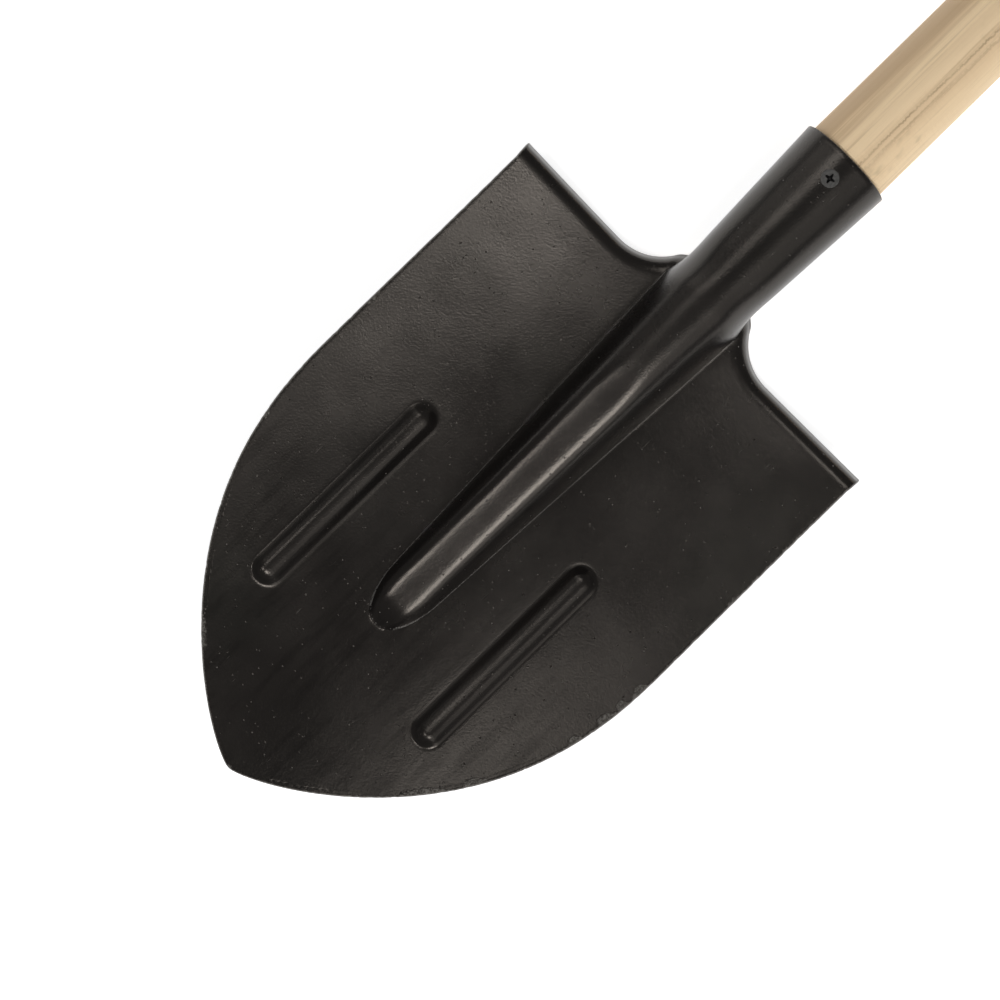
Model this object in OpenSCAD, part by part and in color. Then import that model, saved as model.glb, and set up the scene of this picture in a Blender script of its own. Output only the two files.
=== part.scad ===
/* [Blade] */
// Length of the blade from its tip to the outside of the treads
blade_length = 280; // [270:1:290]
// Width of the blade at its widest
blade_width = 203; // [196:1:216]
// Thickness of the pressed steel sheet
sheet = 2; // [1.6:0.1:2.2]
// Radius of the dish across the blade
dish_radius = 330; // [280:10:500]
// Radius of the curve along the blade
sweep_radius = 860; // [700:20:1200]
// How far the lowest line of the blade lies under the shaft's axis
belly_drop = 17; // [15:0.5:18]

/* [Centre ridge] */
// Distance from the tip to the nose of the ridge
ridge_from = 88; // [84:1:92]
// Distance from the tip to where the ridge starts to slope down
ridge_apex = 249; // [244:1:252]
// Height of the ridge at its nose
ridge_nose_height = 8; // [6:0.5:9]
// Half-width of the ridge at its nose
ridge_nose_half = 12.4; // [11:0.2:13]
// Half-width of the ridge at the treads
ridge_foot_half = 20.3; // [19.8:0.1:20.8]

/* [Side beads] */
// Distance from the tip to the lower end of a bead
bead_from = 64; // [62:1:68]
// Distance from the tip to the upper end of a bead
bead_to = 171; // [160:1:180]
// Distance from the middle of the blade to a bead
bead_offset = 49.2; // [47:0.2:51]
// Half-width of a bead
bead_half = 7.6; // [7:0.1:8]
// Height of a bead
bead_height = 4.4; // [3:0.2:5]

/* [Treads] */
// Width of the turned-back sheet, measured round the bend
tread_width = 12; // [10:0.5:13]
// Radius of the bend at the middle of the sheet
tread_bend = 5.5; // [5:0.1:6]
// Angle that the sheet is turned back by
tread_angle = 72; // [65:1:78]
// Radius of the curve between a tread and the socket
neck_fillet = 27; // [25:1:29]

/* [Socket] */
// Outside diameter of the socket at its mouth
mouth_diameter = 44.8; // [44.6:0.1:45.4]
// Outside diameter of the socket at its neck
neck_diameter = 38.6; // [38.4:0.1:39.2]
// Length of the socket's full round part
socket_length = 67.5; // [60:0.5:80]
// Gap of the seam along the back of the socket
seam_gap = 0.8; // [0.5:0.1:1.5]

/* [Shaft] */
// Diameter of the wooden shaft
shaft_diameter = 40; // [39.6:0.1:40]
// Whole length of the wooden shaft
shaft_length = 1200; // [900:10:1400]
// How far the shaft reaches into the head past the socket's mouth
shaft_depth = 97; // [85:1:98]
// Gap between the sheet and the lower end of the tapered shaft
shaft_clearance = 0.9; // [0.8:0.05:1.2]
// Height of the domed top end of the shaft
dome_height = 9; // [6:1:14]

/* [Screw] */
// Diameter of the screw's countersunk head
screw_head = 8; // [7.6:0.1:8.4]
// Outside diameter of the screw's thread
screw_thread = 4; // [3.5:0.1:4.5]
// Length of the screw
screw_length = 30; // [25:1:34]
// Distance from the socket's mouth to the screw
screw_inset = 12.3; // [10:0.1:16]

/* [Hidden] */

half_sheet = sheet / 2;
blade_half = blade_width / 2;
// The tip is blunted to this half-width
tip_half = 1;
// The outline reaches its full width here, and its powers set how pointed it is
full_width_at = 0.566 * blade_length;
outline_power = 2.3;
outline_fullness = 0.8;
// The straight sides close in by this much towards the treads
side_taper = 0.8;
// The lowest line of the blade
belly_at = 170;

// Middle of the sheet: radii and places of the socket
neck_radius = neck_diameter / 2 - half_sheet;
mouth_radius = mouth_diameter / 2 - half_sheet;
tread_reach = tread_bend * sin(tread_angle)
            + (tread_width - tread_bend * tread_angle * PI / 180) * cos(tread_angle);
tread_line = blade_length - half_sheet * sin(tread_angle) - tread_reach;
fillet_x = tread_line + tread_reach + neck_fillet;
fillet_y = neck_radius + neck_fillet;
fillet_r = neck_fillet + tread_reach;
// The neck's front line meets the socket's this far before the fillet ends
neck_overlap = 3;
neck_x = fillet_x - neck_overlap;
mouth_x = neck_x + socket_length;
socket_slope = (mouth_radius - neck_radius) / socket_length;
// The seam has closed by this far along the socket
closing_length = 18;
closed_x = neck_x + closing_length;
// The ridge's creases meet the socket at this angle from its front line
crease_angle = 120;
// The treads' outer corners stand out this far past the sides; a high power keeps that to the corners
tread_nib = 1.3;
nib_power = 12;

// Ridge: the front face is a slightly crowned slope let into a round arch
ridge_nose_run = 24;
ridge_crown = 55;
ridge_rise = 1.8;
ridge_nose_slope = 0.8;
arch_power = 2.5;
arch_fullness = 0.6;
// How widely the ridge's faces are rounded where they meet: crown to socket line, slope to arch,
// nose to slope
crown_blend = 1;
slope_blend = 0.8;
nose_blend = 3;

floor_z = -mouth_diameter / 2;
shaft_radius = shaft_diameter / 2;
shaft_from = mouth_x - shaft_depth;
shaft_to = shaft_from + shaft_length;
screw_x = mouth_x - screw_inset;
screw_top = socket_radius(screw_x) + half_sheet;
head_height = (screw_head - screw_thread) / 2;
middle_x = shaft_to / 2;

// Small helpers
function bound(t) = max(0, min(1, t));
function ease(t) = let (c = bound(t)) c * c * (3 - 2 * c);
function mix(a, b, t) = a + (b - a) * t;
function soft_min(a, b, k) = let (h = max(k - abs(a - b), 0) / k) min(a, b) - h * h * k / 4;
function unit(v) = v / norm(v);

// Half-width of the outline
function half_width(x) =
    let (lead = max(0, 1 - x / full_width_at),
         closing = side_taper * ease((x - full_width_at) / (blade_length - full_width_at)))
    tip_half + (blade_half - tip_half) * pow(1 - pow(lead, outline_power), outline_fullness) - closing;

// Radius of the socket, and height of the front line of the socket and the ridge
function socket_radius(x) = neck_radius + (x - neck_x) * socket_slope;
function dish(x, y) =
    -belly_drop + pow(x - belly_at, 2) / (2 * sweep_radius) + y * y / (2 * dish_radius);
slope_from = ridge_from + ridge_nose_run / 2;
slope_rate = (socket_radius(ridge_apex) - dish(slope_from, 0) - ridge_nose_height)
           / (ridge_apex - slope_from);
function slope_z(x) = socket_radius(ridge_apex) - (ridge_apex - x) * slope_rate;
function arch_z(x) = soft_min(socket_radius(x), slope_z(x) + ridge_rise, crown_blend);

// Half-width of the ridge before and after its nose is rounded
ridge_full_x = ridge_from + ridge_nose_run;
foot_x = fillet_x - sqrt(fillet_r * fillet_r - pow(fillet_y - ridge_foot_half, 2));
function ridge_zone(x) =
    mix(ridge_nose_half, ridge_foot_half, (x - ridge_full_x) / (foot_x - ridge_full_x));
function ridge_half(x) =
    let (lead = bound((ridge_full_x - x) / ridge_nose_run))
    ridge_zone(x) * sqrt(1 - lead * lead);

// Rounded arch over q = 0 to 1, the same for the ridge and for the neck
function arch(q) = pow(max(0, 1 - pow(abs(q), arch_power)), arch_fullness);

no_ridge = 0.01;
function ridge(x, y) =
    let (a = ridge_half(x))
    a < no_ridge || abs(y) >= a ? 0 :
    let (foot = dish(x, y),
         round_part = (arch_z(x) - foot) * arch(y / a),
         sloped_part = slope_z(x) - y * y / (2 * ridge_crown) - foot,
         nose_part = (x - ridge_from) * ridge_nose_slope)
    max(0, soft_min(soft_min(round_part, sloped_part, slope_blend), nose_part, nose_blend));

// A bead is flat along its top line and falls to its foot over the rest of its half-width
bead_top = 0.2;
function bead(x, y) =
    let (along = max(bead_from + bead_half, min(bead_to - bead_half, x)),
         away = norm([x - along, abs(y) - bead_offset]) / bead_half)
    bead_height * (1 - ease((away - bead_top) / (1 - bead_top)));

function blade_z(x, y) = dish(x, y) + ridge(x, y) + bead(x, y);

// Where the sheet starts to turn back: straight across, then round the neck
function turn_x(y) =
    abs(y) >= fillet_y ? tread_line : fillet_x - sqrt(fillet_r * fillet_r - pow(fillet_y - abs(y), 2));

// Rows run across the blade and are closer together where its shape changes: at the lower end of the
// beads, the ridge's nose, the upper end of the beads and the ridge's apex
before_bead = 5;
bead_end = 11;
past_bead = 2;
past_nose = 17;
before_apex = 17;
past_apex = 3;
row_stops = [0, bead_from - before_bead, bead_from + bead_end, ridge_from + past_nose,
             bead_to - bead_end, bead_to + past_bead, ridge_apex - before_apex, ridge_apex + past_apex,
             tread_line];
row_counts = [9, 5, 7, 5, 4, 4, 6, 3];
row_bunching = 1.5;
rows = concat([0], [for (s = [0 : len(row_counts) - 1]) for (i = [1 : row_counts[s]])
    let (t = i / row_counts[s])
    mix(row_stops[s], row_stops[s + 1], s == 0 ? pow(t, row_bunching) : t)]);
last_row = len(rows) - 1;
// The rows start to bend with the neck's curve here
bend_length = 15;
bend_from = ridge_apex - bend_length;
function row_x(j, y) =
    rows[j] + (turn_x(max(abs(y), ridge_foot_half)) - tread_line)
            * ease((rows[j] - bend_from) / (tread_line - bend_from));

// Columns run from the middle to the edge: the ridge's, then the flat's and the bead's
ridge_columns = 8;
flat_steps = [2, 6];
bead_clear = 1.15;
bead_steps = [-bead_clear, -0.75, -0.4, 0, 0.4, 0.75, bead_clear];
edge_steps = [0.35, 0.7, 1];
// Where the blade is narrower than this half-width, towards the tip, the columns close in together
full_columns_half = 68;
side_columns = len(flat_steps) + len(bead_steps) + len(edge_steps);
last_column = ridge_columns + side_columns;
wall_bunching = 0.8;
function ridge_step(k) = pow(sin(90 * k / ridge_columns), wall_bunching);
function column_y(j, c) =
    let (n = abs(c),
         edge = half_width(rows[j]),
         squeeze = min(1, edge / full_columns_half),
         foot = ridge_zone(row_x(j, 0)) * squeeze,
         inner = (bead_offset + bead_half * bead_clear) * squeeze,
         f = n - ridge_columns - 1,
         b = f - len(flat_steps),
         e = b - len(bead_steps),
         y = n <= ridge_columns ? foot * ridge_step(n)
           : b < 0 ? foot + flat_steps[f] * squeeze
           : e < 0 ? (bead_offset + bead_half * bead_steps[b]) * squeeze
           : mix(inner, edge, edge_steps[e]))
    c < 0 ? -y : y;

function blade_point(j, c) =
    let (y = column_y(j, c), x = row_x(j, y)) [x, y, blade_z(x, y)];

// A tread's section: out and down from where the turn starts, m running from 0 to 1
tread_steps = 5;
function tread_out(m) =
    let (run = m * tread_width, turned = min(tread_angle, run / tread_bend * 180 / PI))
    tread_bend * sin(turned) + (run - tread_bend * turned * PI / 180) * cos(tread_angle);
function tread_down(m) =
    let (run = m * tread_width, turned = min(tread_angle, run / tread_bend * 180 / PI))
    tread_bend * (1 - cos(turned)) + (run - tread_bend * turned * PI / 180) * sin(tread_angle);
function tread_point(start, heading, m) =
    let (rise = (start[0] - belly_at) / sweep_radius * heading[0]
              + start[1] / dish_radius * heading[1],
         out = tread_out(m),
         nib = tread_nib * m * pow(start[1] / blade_half, nib_power))
    [start[0] + heading[0] * out, start[1] + heading[1] * out + nib,
     dish(start[0], start[1]) + out * rise - tread_down(m)];

// Past the treads the rows go round the neck and along the socket
neck_rows = 10;
socket_rows = 3;
tube_rows = neck_rows + socket_rows;
neck_turn = asin((fillet_y - ridge_foot_half) / fillet_r);
seam_angle = 180 - asin(seam_gap / 2 / neck_radius);
function tube_x(r) =
    r <= neck_rows ? mix(foot_x, closed_x, r / neck_rows)
                   : mix(closed_x, mouth_x, (r - neck_rows) / socket_rows);
function neck_start(t) =
    let (turn = mix(neck_turn, 90, bound(t)))
    [fillet_x - fillet_r * cos(turn), fillet_y - fillet_r * sin(turn)];
function neck_heading(t) = let (turn = mix(neck_turn, 90, bound(t))) [cos(turn), sin(turn)];
function tube_point(x, angle) = [x, socket_radius(x) * sin(angle), socket_radius(x) * cos(angle)];

// The foot of the ridge's wall keeps this much of the socket's width as the tread tucks in under it
foot_keep = 0.96;
// Shares of the neck over which its foot, its front and its back take on the socket's shape
foot_share = 0.6;
front_share = 0.7;
back_share = 0.7;
function neck_foot(t) =
    let (x = neck_start(t)[0],
         y = mix(ridge_zone(x), neck_radius * foot_keep, ease(t / foot_share)))
    [x, y, dish(x, y)];

// The front of the neck: an arch that becomes round
function front_point(r, k) =
    let (t = r / neck_rows,
         foot = neck_foot(t),
         q = ridge_step(k),
         round_point = tube_point(tube_x(r), crease_angle * k / ridge_columns))
    mix([foot[0], foot[1] * q, foot[2] + (socket_radius(foot[0]) - foot[2]) * arch(q)],
        round_point, ease(t / front_share));

// The back of the neck: the tread tucks in behind and closes up to the seam
function back_point(r, m) =
    let (t = r / neck_rows,
         start = neck_start(t),
         fold_line = tread_point(start, neck_heading(t), 0),
         tread = tread_point(start, neck_heading(t), m) + (neck_foot(t) - fold_line) * pow(1 - m, 2),
         closing = ease((t - (1 - back_share) * m) / back_share))
    mix(tread, tube_point(tube_x(r), mix(crease_angle, seam_angle, m)), closing);

// Right-hand side strip: from the tread's outer corner, in to the neck, along to the mouth
function strip_point(l, m) =
    l > side_columns ? back_point(l - side_columns, m) :
    let (p = blade_point(last_row, last_column - l))
    p[1] >= fillet_y ? tread_point([p[0], p[1]], [1, 0], m) :
    tread_point([p[0], p[1]], [fillet_x - p[0], fillet_y - p[1]] / fillet_r, m);
strip_rows = side_columns + tube_rows;

function flip(p) = [p[0], -p[1], p[2]];
function sided(p, side) = side < 0 ? flip(p) : p;

// Middle of the sheet, as three grids that share their edges
blade_grid = [for (j = [0 : last_row]) [for (c = [-last_column : last_column]) blade_point(j, c)]];
front_grid = [for (r = [0 : tube_rows]) [for (k = [-ridge_columns : ridge_columns])
    sided(front_point(r, abs(k)), k)]];
strip_grid = [for (l = [0 : strip_rows]) [for (m = [0 : tread_steps]) strip_point(l, m / tread_steps)]];

// Unit normals on the front side, from each point's neighbours
function across(prev, next, back, ahead) = unit(cross(ahead - back, next - prev));
function blade_ahead(j, c) =
    j < last_row ? blade_grid[j + 1][c + last_column] :
    abs(c) < ridge_columns ? front_grid[1][c + ridge_columns] :
    sided(strip_grid[last_column - abs(c)][1], c);
blade_normals = [for (j = [0 : last_row]) [for (c = [-last_column : last_column])
    let (i = c + last_column)
    across(blade_grid[j][max(i - 1, 0)], blade_grid[j][min(i + 1, 2 * last_column)],
           blade_grid[max(j - 1, 0)][i], blade_ahead(j, c))]];
function front_side(r, k) =
    abs(k) <= ridge_columns ? front_grid[r][k + ridge_columns] :
    sided(strip_grid[side_columns + r][1], k);
front_normals = [for (r = [0 : tube_rows]) [for (k = [-ridge_columns : ridge_columns])
    across(front_side(r, k - 1), front_side(r, k + 1),
           front_side(max(r - 1, 0), k), front_side(min(r + 1, tube_rows), k))]];
strip_normals = [for (l = [0 : strip_rows]) [for (m = [0 : tread_steps])
    across(strip_grid[min(l + 1, strip_rows)][m], strip_grid[max(l - 1, 0)][m],
           strip_grid[l][max(m - 1, 0)], strip_grid[l][min(m + 1, tread_steps)])]];

// The grids joined into one list of points, and the place of each grid point in it
blade_span = 2 * last_column + 1;
front_span = 2 * ridge_columns + 1;
blade_count = (last_row + 1) * blade_span;
front_count = tube_rows * front_span;
strip_count = (strip_rows + 1) * tread_steps;
function offset_grid(points, normals, first_row, first_column, by) =
    [for (j = [first_row : len(points) - 1]) for (i = [first_column : len(points[j]) - 1])
        points[j][i] + normals[j][i] * by];
function skin(by) =
    let (strip = offset_grid(strip_grid, strip_normals, 0, 1, by))
    concat(offset_grid(blade_grid, blade_normals, 0, 0, by),
           offset_grid(front_grid, front_normals, 1, 0, by),
           strip, [for (p = strip) flip(p)]);
skin_count = blade_count + front_count + 2 * strip_count;

function blade_at(j, c) = j * blade_span + c + last_column;
function front_at(r, k) =
    r == 0 ? blade_at(last_row, k) : blade_count + (r - 1) * front_span + k + ridge_columns;
function strip_at(side, l, m) =
    m > 0 ? blade_count + front_count + (side < 0 ? strip_count : 0) + l * tread_steps + m - 1 :
    l <= side_columns ? blade_at(last_row, side * (last_column - l)) :
    front_at(l - side_columns, side * ridge_columns);

// A four-sided patch, named anticlockwise as seen from outside, and one square of each grid
function patch(a, b, c, d) = [[a, c, b], [a, d, c]];
function blade_patch(j, c) =
    patch(blade_at(j, c), blade_at(j + 1, c), blade_at(j + 1, c + 1), blade_at(j, c + 1));
function front_patch(r, k) =
    patch(front_at(r, k), front_at(r + 1, k), front_at(r + 1, k + 1), front_at(r, k + 1));
function strip_patch(side, l, m) =
    let (a = strip_at(side, l, m), b = strip_at(side, l + 1, m),
         c = strip_at(side, l + 1, m + 1), d = strip_at(side, l, m + 1))
    side > 0 ? patch(a, b, c, d) : patch(a, d, c, b);
front_faces = concat(
    [for (j = [0 : last_row - 1]) for (c = [-last_column : last_column - 1]) each blade_patch(j, c)],
    [for (r = [0 : tube_rows - 1]) for (k = [-ridge_columns : ridge_columns - 1]) each front_patch(r, k)],
    [for (l = [0 : strip_rows - 1]) for (m = [0 : tread_steps - 1]) each strip_patch(1, l, m)],
    [for (l = [0 : strip_rows - 1]) for (m = [0 : tread_steps - 1]) each strip_patch(-1, l, m)]);

// The sheet's edge: across the tip, up the right side, along the tread and seam, and back
half_edge = function (side) concat(
    [for (c = [0 : last_column]) blade_at(0, side * c)],
    [for (j = [1 : last_row]) blade_at(j, side * last_column)],
    [for (m = [1 : tread_steps]) strip_at(side, 0, m)],
    [for (l = [1 : strip_rows]) strip_at(side, l, tread_steps)],
    [for (m = [1 : tread_steps]) strip_at(side, strip_rows, tread_steps - m)],
    [for (k = [1 : ridge_columns]) front_at(tube_rows, side * (ridge_columns - k))]);
function rim(edge, side) =
    [for (i = [0 : len(edge) - 2])
        let (a = edge[i], b = edge[i + 1])
        each side > 0 ? patch(a, b, b + skin_count, a + skin_count)
                      : patch(b, a, a + skin_count, b + skin_count)];

module pressed_sheet() {
    back_faces = [for (f = front_faces) [f[2] + skin_count, f[1] + skin_count, f[0] + skin_count]];
    polyhedron(points = concat(skin(half_sheet), skin(-half_sheet)),
               faces = concat(front_faces, back_faces, rim(half_edge(1), 1), rim(half_edge(-1), -1)),
               convexity = 8);
}

// Puts a part that is built along the shaft's axis, from the tip, into the object's frame
module placed() {
    translate([-middle_x, 0, -floor_z]) children();
}

module blade() {
    hole_gap = 0.1;
    // How far the hole's cutters stand clear of the sheet
    clear = 1;
    hole_radius = screw_thread / 2 + hole_gap;
    color("#2e2d2b") placed() difference() {
        pressed_sheet();
        translate([screw_x, 0, screw_top - sheet - clear])
            cylinder(r = hole_radius, h = sheet + 2 * clear, $fn = 48);
        translate([screw_x, 0, screw_top - head_height])
            cylinder(r1 = hole_radius, r2 = hole_radius + head_height + clear,
                     h = head_height + clear, $fn = 48);
    }
}

module handle() {
    taper_end = socket_radius(shaft_from) - half_sheet - shaft_clearance;
    chamfer = 2;
    dome_points = 8;
    pilot_gap = 0.02;
    pilot_depth = 0.5;
    color("burlywood") placed() difference() {
        translate([shaft_from, 0, 0]) rotate([0, 90, 0]) rotate_extrude($fn = 96) polygon(concat(
            [[0, 0], [taper_end - chamfer, 0], [taper_end, chamfer], [shaft_radius, shaft_depth]],
            [for (i = [0 : dome_points])
                let (turn = 90 * i / dome_points)
                [shaft_radius * cos(turn), shaft_length - dome_height * (1 - sin(turn))]]));
        translate([screw_x, 0, screw_top - screw_length - pilot_depth])
            cylinder(r = screw_thread / 2 + pilot_gap, h = screw_length, $fn = 48);
    }
}

module socket_screw() {
    thread_radius = screw_thread / 2;
    core_radius = 0.68 * thread_radius;
    thread_pitch = 1.6;
    thread_root = 0.35;
    plain_shank = 2.5;
    point_length = 6;
    turns = floor((screw_length - head_height - point_length) / thread_pitch);
    thread_top = -head_height - plain_shank;
    slot_long = 0.58 * screw_head;
    slot_wide = 0.13 * screw_head;
    slot_deep = 0.75 * head_height;
    clear = 1;
    color("dimgray") placed() translate([screw_x, 0, screw_top]) difference() {
        rotate_extrude($fn = 48) polygon(concat(
            [[0, 0], [screw_head / 2, 0], [thread_radius, -head_height], [thread_radius, thread_top]],
            [for (i = [0 : turns - 1]) each [
                [core_radius, thread_top - thread_pitch * (i + thread_root)],
                [thread_radius, thread_top - thread_pitch * (i + 1)]]],
            [[0, -screw_length]]));
        for (turn = [0, 90])
            rotate([0, 0, turn]) translate([-slot_long / 2, -slot_wide / 2, -slot_deep])
                cube([slot_long, slot_wide, slot_deep + clear]);
    }
}

blade();
handle();
socket_screw();
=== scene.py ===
import math

import bpy
import numpy as np
from mathutils import Matrix, Vector


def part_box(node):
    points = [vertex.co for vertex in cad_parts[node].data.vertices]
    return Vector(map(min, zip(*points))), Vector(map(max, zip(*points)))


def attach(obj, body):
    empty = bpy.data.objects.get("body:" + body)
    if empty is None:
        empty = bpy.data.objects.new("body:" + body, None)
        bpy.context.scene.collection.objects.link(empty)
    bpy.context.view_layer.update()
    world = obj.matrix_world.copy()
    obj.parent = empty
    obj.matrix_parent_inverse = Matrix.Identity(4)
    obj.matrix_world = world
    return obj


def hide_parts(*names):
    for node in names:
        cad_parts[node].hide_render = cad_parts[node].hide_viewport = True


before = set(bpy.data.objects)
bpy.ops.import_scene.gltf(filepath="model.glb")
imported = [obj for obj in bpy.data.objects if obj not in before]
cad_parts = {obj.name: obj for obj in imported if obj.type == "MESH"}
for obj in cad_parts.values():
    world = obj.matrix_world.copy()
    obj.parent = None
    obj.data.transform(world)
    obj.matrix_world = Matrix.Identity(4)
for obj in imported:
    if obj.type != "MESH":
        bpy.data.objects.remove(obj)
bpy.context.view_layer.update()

# The object lies along X with its tip at the low end; the shaft's axis is the line y = 0, z = AXIS_Z.
# The blade's shapes are worked out in millimetres from the tip and from that axis, as on a drawing.
MM = 0.001
# These keep a division from meeting zero
TINY = 0.01
TINIEST = 1e-12
handle_low, handle_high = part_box("handle")
screw_low, screw_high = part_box("socket_screw")
AXIS_Z = (handle_low.z + handle_high.z) / 2
TIP_X = -handle_high.x
SHAFT_FROM = (handle_low.x - TIP_X) / MM
SHAFT_TO = (handle_high.x - TIP_X) / MM
SHAFT_RADIUS = (handle_high.z - handle_low.z) / 2 / MM
SCREW_X = ((screw_low.x + screw_high.x) / 2 - TIP_X) / MM
SCREW_TOP = (screw_high.z - AXIS_Z) / MM
SCREW_HEAD = (screw_high.x - screw_low.x) / MM
SCREW_LENGTH = (screw_high.z - screw_low.z) / MM

# Blade
BLADE_LENGTH = 280.0
BLADE_HALF = 101.5
HALF_SHEET = 1.0
TIP_HALF = 1.0
FULL_WIDTH_SHARE = 0.566
FULL_WIDTH_AT = FULL_WIDTH_SHARE * BLADE_LENGTH
OUTLINE_POWER = 2.3
OUTLINE_FULLNESS = 0.8
SIDE_TAPER = 0.8
# The cut edge's rounding reaches this far in from the outline
EDGE_ROOM = 0.5
DISH_RADIUS = 330.0
SWEEP_RADIUS = 860.0
BELLY_DROP = 17.0
BELLY_AT = 170.0

# Centre ridge
RIDGE_FROM = 88.0
RIDGE_APEX = 249.0
RIDGE_NOSE_HEIGHT = 8.0
RIDGE_NOSE_HALF = 12.4
RIDGE_FOOT_HALF = 20.3
RIDGE_NOSE_RUN = 24.0
RIDGE_NOSE_SLOPE = 0.8
RIDGE_CROWN = 100.0
RIDGE_RISE = 1.8
ARCH_POWER = 2.5
ARCH_FULLNESS = 0.6
# How widely the ridge's front face, its top and its nose run into each other
TOP_BLEND = 1.0
CROWN_BLEND = 0.8
NOSE_BLEND = 3.0

# Side beads
BEAD_FROM = 64.0
BEAD_TO = 171.0
BEAD_OFFSET = 49.2
BEAD_HALF = 7.6
BEAD_HEIGHT = 4.4
BEAD_CREST = 0.2

# Treads and neck
TREAD_WIDTH = 12.0
TREAD_BEND = 5.5
TREAD_ANGLE = math.radians(72)
TREAD_NIB = 1.3
TREAD_NIB_POWER = 12
NECK_FILLET = 27.0
FOOT_KEEP = 0.96
# Shares of the neck's length over which its foot, front and back turn into the tube
FOOT_SHARE = 0.6
FRONT_SHARE = 0.7
BACK_LAG = 0.3

# Socket
NECK_RADIUS = 18.3
MOUTH_RADIUS = 21.4
SOCKET_LENGTH = 67.5
NECK_OVERLAP = 3.0
CLOSING_LENGTH = 18.0
SEAM_GAP = 0.8
CREASE_ANGLE = math.radians(120)

TREAD_REACH = (TREAD_BEND * math.sin(TREAD_ANGLE)
               + (TREAD_WIDTH - TREAD_BEND * TREAD_ANGLE) * math.cos(TREAD_ANGLE))
TREAD_LINE = BLADE_LENGTH - HALF_SHEET * math.sin(TREAD_ANGLE) - TREAD_REACH
FILLET_X = TREAD_LINE + TREAD_REACH + NECK_FILLET
FILLET_Y = NECK_RADIUS + NECK_FILLET
FILLET_R = NECK_FILLET + TREAD_REACH
NECK_X = FILLET_X - NECK_OVERLAP
MOUTH_X = NECK_X + SOCKET_LENGTH
CLOSED_X = NECK_X + CLOSING_LENGTH
SOCKET_SLOPE = (MOUTH_RADIUS - NECK_RADIUS) / SOCKET_LENGTH
SEAM_ANGLE = math.pi - math.asin((SEAM_GAP / 2 + EDGE_ROOM) / NECK_RADIUS)
RIDGE_FULL_X = RIDGE_FROM + RIDGE_NOSE_RUN
FOOT_X = FILLET_X - math.sqrt(FILLET_R ** 2 - (FILLET_Y - RIDGE_FOOT_HALF) ** 2)
NECK_TURN = math.asin((FILLET_Y - RIDGE_FOOT_HALF) / FILLET_R)

# Shaft: the lower end tapers to seat in the socket, with this gap left round it
SHAFT_DEPTH = 97.0
SHAFT_GAP = 0.9
SHAFT_CHAMFER = 2.0
# The bevel's rounding, along and out, and the dome's last step in degrees before its middle
BEVEL_ROUND = 0.5, 0.7
DOME_HEIGHT = 9.0
DOME_STEPS = 13
DOME_LAST = 87
DOME_TIP = 0.3
THINNEST = 0.1
PILOT_RADIUS = 2.02
PILOT_SPARE = 0.5

# Screw
THREAD_RADIUS = 2.0
CORE_RADIUS = 1.4
SHANK_RADIUS = 1.7
THREAD_PITCH = 1.6
CREST_HALF = 0.3
HEAD_HEIGHT = SCREW_HEAD / 2 - THREAD_RADIUS
# The head's section near its rim: how far in from the rim and how far under the top
HEAD_SECTION = [(0.35, 0.5), (0, 0.22), (0, 0.1), (0.12, 0)]
HEAD_MIDDLE = 0.2
# The plain shank widens into the head over this height
HEAD_FLARE = 0.5
SHANK_LENGTH = 2.5
POINT_LENGTH = 6.0
POINT_BLUNT = 0.04
POINT_FROM = 0.1
HOLE_GAP = 0.1
# The cutters are this round and reach this far past the surfaces that they cut
HOLE_SEGMENTS = 64
CUT_PAST = 3.0


def ease(t):
    t = np.clip(t, 0, 1)
    return t * t * (3 - 2 * t)


def mix(a, b, t):
    return a + (b - a) * t


def soft_min(a, b, width):
    near = np.maximum(width - np.abs(a - b), 0) / width
    return np.minimum(a, b) - near * near * width / 4


# ---- Shape of the sheet's middle surface ----

def half_width(x):
    """Half-width of the outline, less the room that the rounded cut edge takes."""
    x = x - EDGE_ROOM
    lead = np.maximum(0, 1 - x / FULL_WIDTH_AT)
    closing = SIDE_TAPER * ease((x - FULL_WIDTH_AT) / (BLADE_LENGTH - FULL_WIDTH_AT))
    full = (1 - lead ** OUTLINE_POWER) ** OUTLINE_FULLNESS
    return TIP_HALF + (BLADE_HALF - EDGE_ROOM - TIP_HALF) * full - closing


def socket_radius(x):
    return NECK_RADIUS + (x - NECK_X) * SOCKET_SLOPE


def dish(x, y):
    return -BELLY_DROP + (x - BELLY_AT) ** 2 / (2 * SWEEP_RADIUS) + y * y / (2 * DISH_RADIUS)


SLOPE_FROM = RIDGE_FROM + RIDGE_NOSE_RUN / 2
SLOPE_RATE = ((socket_radius(RIDGE_APEX) - dish(SLOPE_FROM, 0) - RIDGE_NOSE_HEIGHT)
              / (RIDGE_APEX - SLOPE_FROM))


def slope_z(x):
    return socket_radius(RIDGE_APEX) - (RIDGE_APEX - x) * SLOPE_RATE


def ridge_zone(x):
    return mix(RIDGE_NOSE_HALF, RIDGE_FOOT_HALF, (x - RIDGE_FULL_X) / (FOOT_X - RIDGE_FULL_X))


def arch(q):
    return np.maximum(0, 1 - np.abs(q) ** ARCH_POWER) ** ARCH_FULLNESS


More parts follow.
